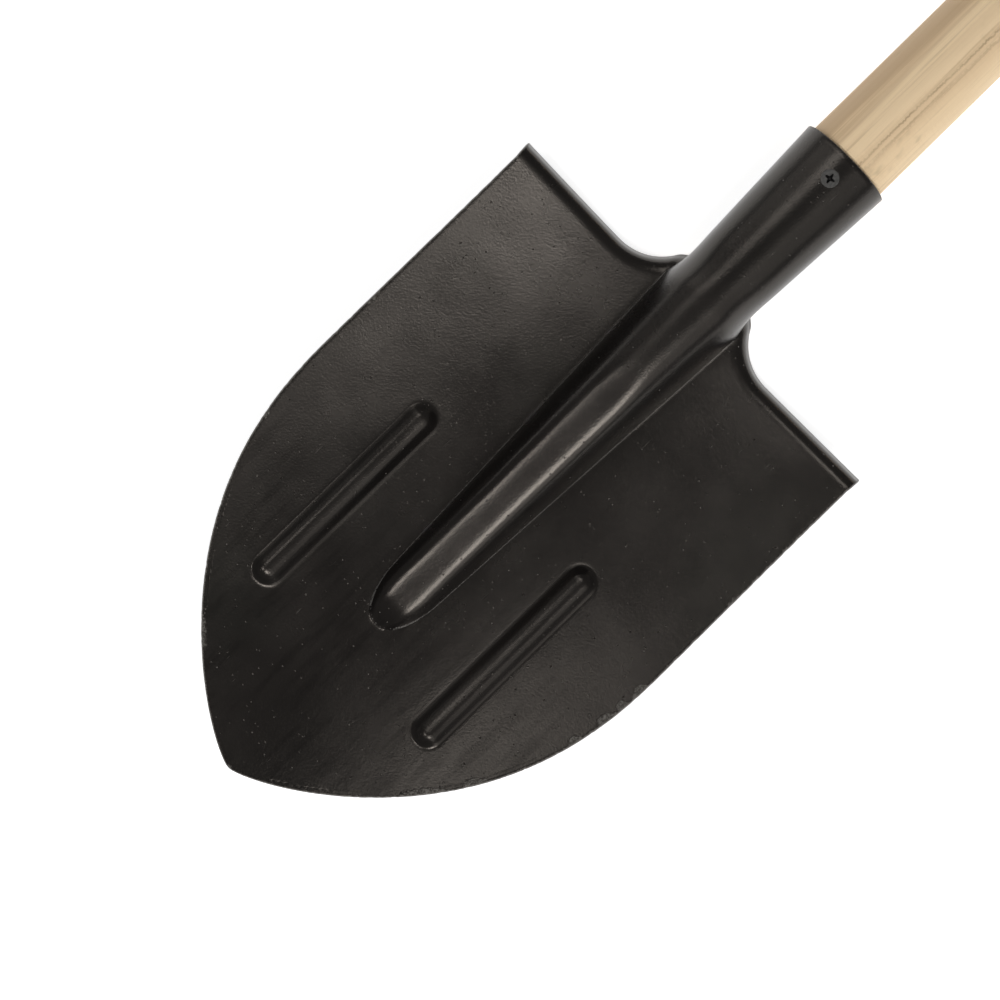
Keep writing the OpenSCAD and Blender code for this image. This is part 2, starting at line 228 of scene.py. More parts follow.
def ridge(x, y):
    lead = np.clip((RIDGE_FULL_X - x) / RIDGE_NOSE_RUN, 0, 1)
    half = np.maximum(ridge_zone(x) * np.sqrt(1 - lead * lead), TINY)
    foot = dish(x, y)
    top = soft_min(socket_radius(x), slope_z(x) + RIDGE_RISE, TOP_BLEND)
    round_part = (top - foot) * arch(np.minimum(np.abs(y) / half, 1))
    sloped_part = slope_z(x) - y * y / (2 * RIDGE_CROWN) - foot
    nose_part = (x - RIDGE_FROM) * RIDGE_NOSE_SLOPE
    height = soft_min(soft_min(round_part, sloped_part, CROWN_BLEND), nose_part, NOSE_BLEND)
    return np.where(np.abs(y) < half, np.maximum(height, 0), 0)


def bead(x, y):
    along = np.clip(x, BEAD_FROM + BEAD_HALF, BEAD_TO - BEAD_HALF)
    away = np.hypot(x - along, np.abs(y) - BEAD_OFFSET) / BEAD_HALF
    return BEAD_HEIGHT * (1 - ease((away - BEAD_CREST) / (1 - BEAD_CREST)))


def blade_z(x, y):
    return dish(x, y) + ridge(x, y) + bead(x, y)


# ---- Grids over the sheet ----

# Rows run across the blade, closer together at the tip and where the shape changes
ROW_STOPS = [EDGE_ROOM, BEAD_FROM - 5, BEAD_FROM + 11, RIDGE_FROM + 17, BEAD_TO - 12, BEAD_TO + 2,
             RIDGE_APEX - 17, RIDGE_APEX + 3, TREAD_LINE]
ROW_STEPS = [0.95, 0.9, 0.9, 1.3, 0.9, 1.4, 1.0, 1.0]
ROW_BUNCHING = 1.35
FLAT_BUNCHING = 1.6
EDGE_BUNCHING = 1.3
RIDGE_BUNCHING = 1.25
WALL_BUNCHING = 0.8
BEAD_CLEAR = 1.15
RIDGE_COLUMNS = 30
FLAT_COLUMNS = 12
BEAD_COLUMNS = 18
EDGE_COLUMNS = 14
SIDE_COLUMNS = FLAT_COLUMNS + BEAD_COLUMNS + EDGE_COLUMNS
LAST_COLUMN = RIDGE_COLUMNS + SIDE_COLUMNS
SQUEEZE_UNDER = 68.0
BEND_FROM = RIDGE_APEX - 15
TREAD_STEPS = 13
NECK_ROWS = 40
SOCKET_ROWS = 24
TUBE_ROWS = NECK_ROWS + SOCKET_ROWS
MIRROR = np.array([1, -1, 1])


def blade_rows():
    rows = [EDGE_ROOM]
    for i, step in enumerate(ROW_STEPS):
        low, high = ROW_STOPS[i], ROW_STOPS[i + 1]
        count = round((high - low) / step)
        t = np.arange(1, count + 1) / count
        rows.extend(mix(low, high, t ** ROW_BUNCHING if i == 0 else t))
    return np.array(rows)


ROWS = blade_rows()


def ridge_step(k, wall=1.0):
    """Share of the ridge's half-width at column k, closer together towards the foot at a wall."""
    turn = 1 - (1 - np.abs(k) / RIDGE_COLUMNS) ** RIDGE_BUNCHING
    return mix(turn, np.sin(np.pi / 2 * turn) ** WALL_BUNCHING, wall)


def turn_x(y):
    """Where the sheet starts to turn back: straight across, then round the neck."""
    inset = np.maximum(FILLET_Y - np.abs(y), 0)
    return np.where(inset > 0, FILLET_X - np.sqrt(FILLET_R ** 2 - inset ** 2), TREAD_LINE)


def row_x(row, y):
    shift = turn_x(np.maximum(np.abs(y), RIDGE_FOOT_HALF)) - TREAD_LINE
    return row + shift * ease((row - BEND_FROM) / (TREAD_LINE - BEND_FROM))


def column_y(row):
    """The places across one row, from the middle to the edge."""
    edge = half_width(row)
    squeeze = min(1, edge / SQUEEZE_UNDER)
    foot = ridge_zone(row_x(row, 0)) * squeeze
    inner = (BEAD_OFFSET - BEAD_HALF * BEAD_CLEAR) * squeeze
    outer = (BEAD_OFFSET + BEAD_HALF * BEAD_CLEAR) * squeeze
    wall = ease((row - RIDGE_FROM) / RIDGE_NOSE_RUN)
    flat = (np.arange(1, FLAT_COLUMNS + 1) / FLAT_COLUMNS) ** FLAT_BUNCHING
    edge_t = np.arange(1, EDGE_COLUMNS + 1) / EDGE_COLUMNS
    return np.concatenate([
        foot * ridge_step(np.arange(RIDGE_COLUMNS + 1), wall),
        mix(foot, inner, flat),
        mix(inner, outer, np.arange(1, BEAD_COLUMNS + 1) / BEAD_COLUMNS),
        mix(outer, edge, 1 - (1 - edge_t) ** EDGE_BUNCHING)])


def blade_grid():
    grid = []
    for row in ROWS:
        y = column_y(row)
        y = np.concatenate([-y[:0:-1], y])
        x = row_x(row, y)
        grid.append(np.stack([x, y, blade_z(x, y)], -1))
    return np.array(grid)


def tread_section(m):
    """How far out and how far down the tread has turned, at this share of its width."""
    run = m * (TREAD_WIDTH - EDGE_ROOM)
    turned = np.minimum(TREAD_ANGLE, run / TREAD_BEND)
    flat = run - TREAD_BEND * turned
    return (TREAD_BEND * np.sin(turned) + flat * math.cos(TREAD_ANGLE),
            TREAD_BEND * (1 - np.cos(turned)) + flat * math.sin(TREAD_ANGLE))


def tread_point(x, y, heading_x, heading_y, m):
    rise = (x - BELLY_AT) / SWEEP_RADIUS * heading_x + y / DISH_RADIUS * heading_y
    out, down = tread_section(m)
    nib = TREAD_NIB * m * (y / BLADE_HALF) ** TREAD_NIB_POWER
    return np.array([x + heading_x * out, y + heading_y * out + nib, dish(x, y) + out * rise - down])


def neck_heading(t):
    turn = mix(NECK_TURN, math.pi / 2, np.clip(t, 0, 1))
    return np.cos(turn), np.sin(turn)


def neck_foot(t):
    c, s = neck_heading(t)
    x = FILLET_X - FILLET_R * c
    y = mix(ridge_zone(x), NECK_RADIUS * FOOT_KEEP, ease(t / FOOT_SHARE))
    return np.array([x, y, dish(x, y)])


def tube_x(r):
    if r <= NECK_ROWS:
        return mix(FOOT_X, CLOSED_X, r / NECK_ROWS)
    return mix(CLOSED_X, MOUTH_X - EDGE_ROOM, (r - NECK_ROWS) / SOCKET_ROWS)


def tube_point(x, angle):
    return np.array([x, socket_radius(x) * math.sin(angle), socket_radius(x) * math.cos(angle)])


def front_point(r, k):
    """The front of the neck: an arch that becomes round."""
    foot = neck_foot(r / NECK_ROWS)
    q = ridge_step(k)
    arched = np.array([foot[0], foot[1] * q, foot[2] + (socket_radius(foot[0]) - foot[2]) * arch(q)])
    round_point = tube_point(tube_x(r), CREASE_ANGLE * k / RIDGE_COLUMNS)
    return mix(arched, round_point, ease(r / NECK_ROWS / FRONT_SHARE))


def back_point(r, m):
    """The back of the neck: the tread tucks in behind and closes up to the seam."""
    t = r / NECK_ROWS
    c, s = neck_heading(t)
    x, y = FILLET_X - FILLET_R * c, FILLET_Y - FILLET_R * s
    tread = (tread_point(x, y, c, s, m)
             + (neck_foot(t) - tread_point(x, y, c, s, 0)) * (1 - m) ** 2)
    closing = ease((t - BACK_LAG * m) / (1 - BACK_LAG))
    return mix(tread, tube_point(tube_x(r), mix(CREASE_ANGLE, SEAM_ANGLE, m)), closing)


def front_grid():
    grid = []
    for r in range(TUBE_ROWS + 1):
        side = [front_point(r, k) for k in range(RIDGE_COLUMNS + 1)]
        grid.append([point * MIRROR for point in side[:0:-1]] + side)
    return np.array(grid)


def strip_grid(last_row):
    """The right-hand strip: in along the tread from its outer corner, then along the socket's seam."""
    grid = []
    for column in range(SIDE_COLUMNS):
        x, y = last_row[2 * LAST_COLUMN - column][:2]
        hx, hy = 1.0, 0.0
        if y < FILLET_Y:
            hx, hy = (FILLET_X - x) / FILLET_R, (FILLET_Y - y) / FILLET_R
        grid.append([tread_point(x, y, hx, hy, m / TREAD_STEPS) for m in range(TREAD_STEPS + 1)])
    for r in range(TUBE_ROWS + 1):
        grid.append([back_point(r, m / TREAD_STEPS) for m in range(TREAD_STEPS + 1)])
    return np.array(grid)


# ---- The sheet as one mesh ----

def quads(index):
    """The four-sided faces of a grid of vertex numbers."""
    return np.stack([index[:-1, :-1], index[1:, :-1], index[1:, 1:], index[:-1, 1:]], -1).reshape(-1, 4)


def middle_surface():
    """Points, faces and rim of the sheet's middle. The faces run anticlockwise seen from the front."""
    blade = blade_grid()
    front = front_grid()
    strip = strip_grid(blade[-1])
    points = np.concatenate([blade.reshape(-1, 3), front[1:].reshape(-1, 3),
                             strip[:, 1:].reshape(-1, 3), (strip[:, 1:] * MIRROR).reshape(-1, 3)])
    blade_at = np.arange(blade.shape[0] * blade.shape[1]).reshape(blade.shape[:2])
    start = blade_at.size
    front_rest = np.arange(front[1:, :, 0].size).reshape(front[1:].shape[:2]) + start
    start += front_rest.size
    middle = LAST_COLUMN
    ridge_end = blade_at[-1:, middle - RIDGE_COLUMNS:middle + RIDGE_COLUMNS + 1]
    front_at = np.concatenate([ridge_end, front_rest])
    strips = []
    for side in (1, -1):
        rest = np.arange(strip[:, 1:, 0].size).reshape(strip[:, 1:].shape[:2]) + start
        start += rest.size
        along_tread = blade_at[-1, middle + side * np.arange(LAST_COLUMN, RIDGE_COLUMNS - 1, -1)]
        along_socket = front_at[1:, RIDGE_COLUMNS + side * RIDGE_COLUMNS]
        shared = np.concatenate([along_tread, along_socket])
        strips.append(np.concatenate([shared[:, None], rest], 1))
    faces = np.concatenate([quads(blade_at), quads(front_at),
                            quads(strips[0]), quads(strips[1])[:, ::-1]])
    right = rim_half(blade_at, front_at, strips[0], 1)
    left = rim_half(blade_at, front_at, strips[1], -1)
    rim = np.concatenate([right, left[-2:0:-1]])
    return points, faces, rim


def rim_half(blade_at, front_at, strip_at, side):
    """One half's edge: from the tip up the side, along the tread and the seam, to the mouth's front."""
    columns = np.arange(LAST_COLUMN + 1)
    return np.concatenate([
        blade_at[0, LAST_COLUMN + side * columns],
        blade_at[1:, LAST_COLUMN + side * LAST_COLUMN],
        strip_at[0, 1:],
        strip_at[1:, -1],
        strip_at[-1, -2:0:-1],
        front_at[-1, RIDGE_COLUMNS + side * np.arange(RIDGE_COLUMNS, -1, -1)]])


def unit(v):
    return v / np.maximum(np.linalg.norm(v, axis=-1, keepdims=True), TINIEST)


def summed(count, index, values):
    """The values that fall on each point, added up."""
    return np.stack([np.bincount(index, values[:, i], count) for i in range(3)], -1)


def point_normals(points, faces):
    a, b, c, d = (points[faces[:, i]] for i in range(4))
    face_normals = np.cross(c - a, d - b)
    return unit(sum(summed(len(points), faces[:, i], face_normals) for i in range(4)))


PRESS_PASSES = 14
FINEST_STEP = 0.55
# The beads and the open blade keep their shape better than the creases beside the ridge
CREASE_ZONE = 26.0
CREASE_FADE = 8.0
OPEN_SHARE = 0.25
# Each pass moves the points by less than their neighbours' average, so that it stays steady
STEADY = 0.9


def pressed(points, faces, rim):
    """Rounds every crease evenly, as a press does, by moving the points along their normals."""
    edges = np.concatenate([faces[:, [i, (i + 1) % 4]] for i in range(4)])
    edges = np.unique(np.sort(edges, 1), axis=0)
    length = np.linalg.norm(points[edges[:, 0]] - points[edges[:, 1]], axis=1)
    weight = 1 / np.maximum(length, FINEST_STEP) ** 2
    total = np.bincount(edges[:, 0], weight, len(points)) + np.bincount(edges[:, 1], weight, len(points))
    share = mix(1, OPEN_SHARE, ease((np.abs(points[:, 1]) - CREASE_ZONE) / CREASE_FADE))
    share *= STEADY / total.max()
    share[rim] = 0
    for _ in range(PRESS_PASSES):
        pull = (points[edges[:, 1]] - points[edges[:, 0]]) * weight[:, None]
        step = summed(len(points), edges[:, 0], pull) - summed(len(points), edges[:, 1], pull)
        normals = point_normals(points, faces)
        points = points + normals * (step * normals).sum(1, keepdims=True) * share[:, None]
    return points


# The cut edge's section from front to back: how far out, and how high from the middle
EDGE_OUT = [0.0, 0.32, 0.5, 0.5, 0.42, 0.0]
EDGE_UP = [1.0, 0.86, 0.45, -0.5, -0.9, -1.0]
NICK_SEED = 11
NICK_COUNT = 240
NICK_DEEPEST = 0.55
NICK_WIDTH = 1.3
# Each nick takes a random share of that width and of that depth, between these
WIDTH_SHARES = 0.5, 2
DEPTH_SHARES = 0.1, 1
RAGGED = 0.09
# Knocks are this share as deep on the back, and where the edge was cut clean
BACK_SHARE = 0.4
CLEAN_SHARE = 0.15
# Nicks come in between these places from the tip, and go again over this stretch past the treads
OPEN_FROM = 12.0
OPEN_FADE = 20.0
TREAD_FADE = 8.0
# The cut edge itself counts as this far outside the coating
BARE_EDGE = -1.0
# The coating has flaked off along the edge: place from the tip, half-length and reach of each patch
RIGHT_FLAKES = [(52, 11, 2.4), (71, 6, 2.8), (114, 4.5, 2.6), (130, 6, 3.2), (139, 4, 3.4),
                (149, 5, 3.0), (205, 4, 1.6)]
LEFT_FLAKES = [(33, 8, 1.6), (118, 3, 1.3), (186, 6, 1.5)]
WORN_EVERYWHERE = 0.1
# Added to a distance where the mark doesn't show, as on the back of a crease
FAR = 100.0
# The distances to the edge are worked out in this many parts, to save memory
EDGE_PARTS = 40


def nick_depths(edge, chance):
    """How far each point of the cut edge is knocked in: small ragged steps and a few deeper nicks."""
    step = np.linalg.norm(np.diff(edge, axis=0), axis=1)
    place = np.concatenate([[0], np.cumsum(step)])
    depth = np.abs(chance.normal(0, RAGGED, len(edge)))
    for centre in chance.uniform(0, place[-1], NICK_COUNT):
        width = NICK_WIDTH * chance.uniform(*WIDTH_SHARES)
        deep = NICK_DEEPEST * chance.uniform(*DEPTH_SHARES) ** 2
        depth = np.maximum(depth, deep * (1 - ease(np.abs(place - centre) / width)))
    # The tip's columns are too close together for nicks, and the socket's mouth and seam are cut clean
    past_tip = ease((edge[:, 0] - OPEN_FROM) / OPEN_FADE)
    past_tread = ease((edge[:, 0] - TREAD_LINE) / TREAD_FADE)
    return depth * mix(CLEAN_SHARE, 1, past_tip * (1 - past_tread))


def distance_to_edge(points, edge):
    """How far each point is from the cut edge."""
    reach = np.full(len(points), np.inf)
    for part in np.array_split(edge[::2], EDGE_PARTS):
        away = np.linalg.norm(points[:, None] - part[None], axis=2).min(1)
        reach = np.minimum(reach, away)
    return reach


def crease_distance(points):
    """How far each point is from the line where the ridge rises from the blade."""
    x, y = points[:, 0], points[:, 1]
    lead = np.clip((RIDGE_FULL_X - x) / RIDGE_NOSE_RUN, 0, 1)
    beside = np.abs(np.abs(y) - ridge_zone(x) * np.sqrt(1 - lead * lead))
    before = np.hypot(RIDGE_FROM - x, y)
    past = np.maximum(x - FOOT_X, 0)
    return np.where(x < RIDGE_FROM, before, beside + past)


def worn_reach(points):
    """How far in from the cut edge the coating has gone at each point."""
    x, y = points[:, 0], points[:, 1]
    reach = np.full(len(points), WORN_EVERYWHERE)
    for flakes, side in ((RIGHT_FLAKES, y < 0), (LEFT_FLAKES, y > 0)):
        for place, half, deep in flakes:
            patch = deep * (1 - ease(np.abs(x - place) / half) ** 2)
            reach = np.maximum(reach, np.where(side, patch, 0))
    return reach


def thicken(points, faces, rim, nicks):
    """The sheet with its thickness: front, back, and rings of points round the nicked cut edge."""
    normals = point_normals(points, faces)
    edge = points[rim]
    along = unit(np.roll(edge, -1, 0) - np.roll(edge, 1, 0))
    outward = unit(np.cross(normals[rim], along))
    count = len(points)
    front = points + normals * HALF_SHEET
    back = points - normals * HALF_SHEET
    front[rim] -= outward * nicks[:, None]
    back[rim] -= outward * nicks[:, None] * BACK_SHARE
    rings, ring_points = [rim], []
    for i in range(1, len(EDGE_OUT) - 1):
        knocked = nicks * mix(BACK_SHARE, 1, (EDGE_UP[i] + 1) / 2)
        out = (EDGE_OUT[i] - knocked)[:, None]
        ring_points.append(edge + outward * out + normals[rim] * EDGE_UP[i] * HALF_SHEET)
        rings.append(2 * count + (i - 1) * len(rim) + np.arange(len(rim)))
    rings.append(rim + count)
    rim_faces = []
    for upper, lower in zip(rings[:-1], rings[1:]):
        rim_faces.append(np.stack([upper, np.roll(upper, -1), np.roll(lower, -1), lower], -1))
    all_points = np.concatenate([front, back] + ring_points)
    return all_points, np.concatenate([faces, faces[:, ::-1] + count] + rim_faces)


def keep_wear_and_highlight_distances(piece, points, edge):
    """Keeps what the coating's material needs to know: the distances to the edge and the flakes, and to
    the crease, where a highlight is painted.
    """
    bare = np.full(len(piece.data.vertices) - 2 * len(points), BARE_EDGE)
    reach = distance_to_edge(points, edge)
    worn = reach - worn_reach(points)
    crease = crease_distance(points)
    keep(piece, "edge_distance", np.concatenate([reach, reach, bare]))
    keep(piece, "wear_distance", np.concatenate([worn, worn, bare]))
    keep(piece, "crease_distance", np.concatenate([crease, crease + FAR, bare + FAR]))


def make_blade():
    points, faces, rim = middle_surface()
    points = pressed(points, faces, rim)
    nicks = nick_depths(points[rim], np.random.default_rng(NICK_SEED))
    piece = new_piece("pressed_blade", *thicken(points, faces, rim, nicks))
    keep_wear_and_highlight_distances(piece, points, points[rim])
    hole = THREAD_RADIUS + HOLE_GAP
    mouth = SCREW_HEAD / 2 + HOLE_GAP
    cut(piece, [(hole, -HEAD_HEIGHT - CUT_PAST), (hole, -HEAD_HEIGHT), (mouth + 1, 1)])
    crisp(piece)
    return piece


# ---- Turned pieces ----

def turned(radii, heights):
    """Points and faces of a closed shape turned about Z, from a row of radii for each height."""
    rows, segments = radii.shape
    turn = np.arange(segments) * 2 * np.pi / segments
    rings = np.stack([radii * np.cos(turn), radii * np.sin(turn),
                      np.repeat(np.array(heights, float)[:, None], segments, 1)], -1)
    points = np.concatenate([rings.reshape(-1, 3), [[0, 0, heights[0]], [0, 0, heights[-1]]]])
    at = np.arange(rows * segments).reshape(rows, segments)
    at = np.concatenate([at, at[:, :1]], 1)
    faces = quads(at.T).tolist()
    low, high = rows * segments, rows * segments + 1
    faces += [[low, at[0, j + 1], at[0, j]] for j in range(segments)]
    faces += [[high, at[-1, j], at[-1, j + 1]] for j in range(segments)]
    return points, faces


def keep(piece, name, values):
    """Keeps one number for every point of the mesh, for the materials to use."""
    store = piece.data.attributes.new(name, "FLOAT", "POINT")
    store.data.foreach_set("value", values)


def cut(piece, profile):
    """Cuts a turned hole, given as (radius, height under the screw's top), through the piece."""
    radii = np.repeat(np.array([[radius] for radius, height in profile]), HOLE_SEGMENTS, 1)
    points, faces = turned(radii, [height for radius, height in profile])
    cutter = new_piece("cutter", points + [SCREW_X, 0, SCREW_TOP], faces)
    subtract(piece, cutter)


def subtract(piece, cutter):
    step = piece.modifiers.new("cut", "BOOLEAN")
    step.operation = "DIFFERENCE"
    step.solver = "MANIFOLD"
    step.object = cutter
    bpy.context.view_layer.update()
    seen = piece.evaluated_get(bpy.context.evaluated_depsgraph_get())
    mesh = bpy.data.meshes.new_from_object(seen)
    piece.modifiers.clear()
    piece.data = mesh
    bpy.data.objects.remove(cutter)


SHARP_ANGLE = 40
THREAD_SHARP_ANGLE = 35


def crisp(piece, angle=SHARP_ANGLE):
    """Smooth shading that keeps the true corners sharp."""
    piece.data.shade_smooth()
    piece.data.set_sharp_from_angle(angle=math.radians(angle))


SHAFT_SEGMENTS = 120
SHAFT_STEP = 4.0
# The plane has left shallow flats that wind along the shaft: two sets, of this many and this long
SHAFT_UNEVEN = 0.12
FLATS = 3, 5
FLAT_RUNS = 70.0, 45.0


def shaft_rows():
    """Places along the shaft and its radius at each: bevel, taper, straight part and domed end."""
    seat = socket_radius(SHAFT_FROM) - HALF_SHEET - SHAFT_GAP
    bevel_run, bevel_rise = BEVEL_ROUND
    bevel = [(SHAFT_FROM, seat - SHAFT_CHAMFER),
             (SHAFT_FROM + bevel_run, seat - SHAFT_CHAMFER + bevel_rise),
             (SHAFT_FROM + SHAFT_CHAMFER, seat)]
    full = SHAFT_FROM + SHAFT_DEPTH
    taper = [(x, mix(seat, SHAFT_RADIUS, (x - SHAFT_FROM) / SHAFT_DEPTH))
             for x in np.arange(SHAFT_FROM + SHAFT_CHAMFER + 1, full, SHAFT_STEP)]
    dome_from = SHAFT_TO - DOME_HEIGHT
    steps = round((dome_from - full) / SHAFT_STEP)
    straight = [(x, SHAFT_RADIUS) for x in np.linspace(full, dome_from, steps)]
    dome = [(dome_from + DOME_HEIGHT * math.sin(a), SHAFT_RADIUS * math.cos(a))
            for a in np.radians(np.linspace(0, DOME_LAST, DOME_STEPS + 1))[1:]]
    return bevel + taper + straight + dome + [(SHAFT_TO, DOME_TIP)]


def make_shaft():
    rows = shaft_rows()
    x = np.array([place for place, radius in rows])[:, None]
    turn = np.arange(SHAFT_SEGMENTS)[None] * 2 * np.pi / SHAFT_SEGMENTS
    one_way = np.sin(FLATS[0] * turn + x / FLAT_RUNS[0])
    other_way = np.cos(FLATS[1] * turn - x / FLAT_RUNS[1] + 1)
    planed = 0.5 + 0.5 * one_way * other_way
    radii = np.array([radius for place, radius in rows])[:, None] - planed * SHAFT_UNEVEN
    points, faces = turned(np.maximum(radii, THINNEST), x[:, 0])
    piece = new_piece("wooden_shaft", points[:, [2, 0, 1]], faces)
    cut(piece, [(PILOT_RADIUS, -SCREW_LENGTH - PILOT_SPARE), (PILOT_RADIUS, CUT_PAST)])
    crisp(piece)
    return piece


SCREW_SEGMENTS = 64
THREAD_STEPS = 12
CROSS_REACH = 2.4
CROSS_WAIST = 0.72
CROSS_TIP = 0.38
CROSS_DEPTH = 1.9
CROSS_TURN = math.radians(10)
# The recess's outline is this large at its bottom, at the head's top and above it
CROSS_LEVELS = [(0.3, -CROSS_DEPTH), (1.0, 0), (1.25, 0.5)]


def thread_profile(t):
    """Height of the thread over its core, from 0 to 1: a narrow crest between wide roots."""
    t = np.mod(t, 1)
    return np.maximum(0, 1 - np.abs(t - 0.5) / CREST_HALF)


def thread_rows():
    """Heights and radii of the threaded part, from the point up to the plain shank."""
    thread_from = -HEAD_HEIGHT - SHANK_LENGTH
    heights = np.arange(-SCREW_LENGTH + POINT_FROM, thread_from, THREAD_PITCH / THREAD_STEPS)
    turn = np.arange(SCREW_SEGMENTS)[None] / SCREW_SEGMENTS
    height = heights[:, None]
    point = np.clip((height + SCREW_LENGTH) / POINT_LENGTH, POINT_BLUNT, 1)
    start = ease((thread_from - height) / THREAD_PITCH)
    crest = (THREAD_RADIUS - CORE_RADIUS) * thread_profile(height / THREAD_PITCH - turn) * start
    return heights, (mix(SHANK_RADIUS, CORE_RADIUS, start) + crest) * point


def make_screw():
    heights, threaded = thread_rows()
    rim = SCREW_HEAD / 2
    head = [(SHANK_RADIUS, -HEAD_HEIGHT - SHANK_LENGTH), (SHANK_RADIUS, -HEAD_HEIGHT - HEAD_FLARE),
            (THREAD_RADIUS, -HEAD_HEIGHT)]
    head += [(rim - inset, -under) for inset, under in HEAD_SECTION]
    head += [(rim / 2, 0), (HEAD_MIDDLE, 0)]
    radii = np.concatenate([threaded, np.repeat([[radius] for radius, z in head], SCREW_SEGMENTS, 1)])
    points, faces = turned(radii, list(heights) + [z for radius, z in head])
    piece = new_piece("countersunk_screw", points + [SCREW_X, 0, SCREW_TOP], faces)
    subtract(piece, cross_cutter())
    crisp(piece, THREAD_SHARP_ANGLE)
    return piece


def cross_cutter():
    """The driver recess: four pointed arms that close in towards the bottom."""
    arm = np.array([(CROSS_WAIST, -CROSS_WAIST), (CROSS_REACH, -CROSS_TIP), (CROSS_REACH, CROSS_TIP)])
    outline = []
    for a in CROSS_TURN + np.arange(4) * np.pi / 2:
        outline.append(arm @ np.array([[np.cos(a), np.sin(a)], [-np.sin(a), np.cos(a)]]))
    outline = np.concatenate(outline)
    count = len(outline)
    points = []
    for scale, z in CROSS_LEVELS:
        points.append(np.concatenate([outline * scale, np.full((count, 1), z)], 1))
    at = np.arange(3 * count).reshape(3, count)
    at = np.concatenate([at, at[:, :1]], 1)
    faces = quads(at.T).tolist() + [at[0, :-1][::-1].tolist(), at[2, :-1].tolist()]
    return new_piece("cutter", np.concatenate(points) + [SCREW_X, 0, SCREW_TOP], faces)


def placed(points):
    """From millimetres on the drawing to metres in the object's frame."""
    return np.asarray(points, float) * MM + np.array([TIP_X, 0, AXIS_Z])


def new_piece(name, points, faces):
    mesh = bpy.data.meshes.new(name)
    mesh.from_pydata(placed(points).tolist(), [], [list(map(int, f)) for f in faces])
    mesh.update()
    mesh.shade_smooth()
    piece = bpy.data.objects.new(name, mesh)
    bpy.context.scene.collection.objects.link(piece)
    return piece


# ---- Materials ----

class Shading:
    """A short way to build shader nodes: numbers are set on sockets and other outputs are linked."""

    def __init__(self, name):
        self.material = bpy.data.materials.new(name)
        self.material.use_nodes = True
        self.tree = self.material.node_tree
        self.shader = self.tree.nodes["Principled BSDF"]

    def put(self, socket, value):
        if isinstance(value, bpy.types.NodeSocket):
            self.tree.links.new(value, socket)
        else:
            socket.default_value = value

    def set(self, **values):
        for name, value in values.items():
            self.put(self.shader.inputs[name.replace("_", " ")], value)

    def place(self, scale=(1, 1, 1), turn=(0, 0, 0)):
        """Coordinates on the piece, in metres, scaled along each axis."""
        coordinates = self.tree.nodes.new("ShaderNodeTexCoord")
        mapping = self.tree.nodes.new("ShaderNodeMapping")
        self.put(mapping.inputs["Vector"], coordinates.outputs["Object"])
        mapping.inputs["Rotation"].default_value = turn
        mapping.inputs["Scale"].default_value = scale
        return mapping.outputs[0]

    def noise(self, place, scale, detail, roughness=0.5):
        node = self.tree.nodes.new("ShaderNodeTexNoise")
        self.put(node.inputs["Vector"], place)
        node.inputs["Scale"].default_value = scale
        node.inputs["Detail"].default_value = detail
        node.inputs["Roughness"].default_value = roughness
        return node.outputs["Fac"]

    def cells(self, place, scale):
        """Distance from the middle of the nearest cell, and a colour for that cell."""
        node = self.tree.nodes.new("ShaderNodeTexVoronoi")
        self.put(node.inputs["Vector"], place)
        node.inputs["Scale"].default_value = scale
        return node.outputs["Distance"], node.outputs["Color"]

    def math(self, operation, a, b=0.0):
        node = self.tree.nodes.new("ShaderNodeMath")
        node.operation = operation
        for socket, value in zip(node.inputs, (a, b)):
            self.put(socket, value)
        return node.outputs[0]

    def plus(self, a, b):
        return self.math("ADD", a, b)

    def minus(self, a, b):
        return self.math("SUBTRACT", a, b)

    def times(self, a, b):
        return self.math("MULTIPLY", a, b)

    def apart(self, a, b):
        """How far a is from b, either way."""
        return self.math("ABSOLUTE", self.minus(a, b))

    def swing(self, place, scale, detail, roughness, reach):
        """Noise that swings about zero and is this wide from end to end."""
        return self.times(self.minus(self.noise(place, scale, detail, roughness), 0.5), reach)

    def fade(self, value, low, high, to_low=0.0, to_high=1.0):
        """Goes from one value to another as the input passes from low to high."""
        node = self.tree.nodes.new("ShaderNodeMapRange")
        node.interpolation_type = "SMOOTHSTEP"
        for i, item in enumerate((value, low, high, to_low, to_high)):
            self.put(node.inputs[i], item)
        return node.outputs[0]

    def blend(self, factor, a, b):
        """A colour that goes from a to b."""
        node = self.tree.nodes.new("ShaderNodeMix")
        node.data_type = "RGBA"
        self.put(node.inputs[0], factor)
        self.put(node.inputs[6], a if isinstance(a, bpy.types.NodeSocket) else (*a, 1))
        self.put(node.inputs[7], b if isinstance(b, bpy.types.NodeSocket) else (*b, 1))
        return node.outputs[2]

    def attribute(self, name):
        node = self.tree.nodes.new("ShaderNodeAttribute")
        node.attribute_name = name
        return node.outputs["Fac"]

    def axes(self, place):
        node = self.tree.nodes.new("ShaderNodeSeparateXYZ")
        self.put(node.inputs[0], place)
        return node.outputs

    def join(self, x=0.0, y=0.0, z=0.0):
        node = self.tree.nodes.new("ShaderNodeCombineXYZ")
        for socket, value in zip(node.inputs, (x, y, z)):
            self.put(socket, value)
        return node.outputs[0]

    def bump(self, height, depth, under=None):
        """Relief of this depth in metres, laid over another relief."""
        node = self.tree.nodes.new("ShaderNodeBump")
        node.inputs["Strength"].default_value = 1
        node.inputs["Distance"].default_value = depth
        self.put(node.inputs["Height"], height)
        if under is not None:
            self.put(node.inputs["Normal"], under)
        return node.outputs[0]


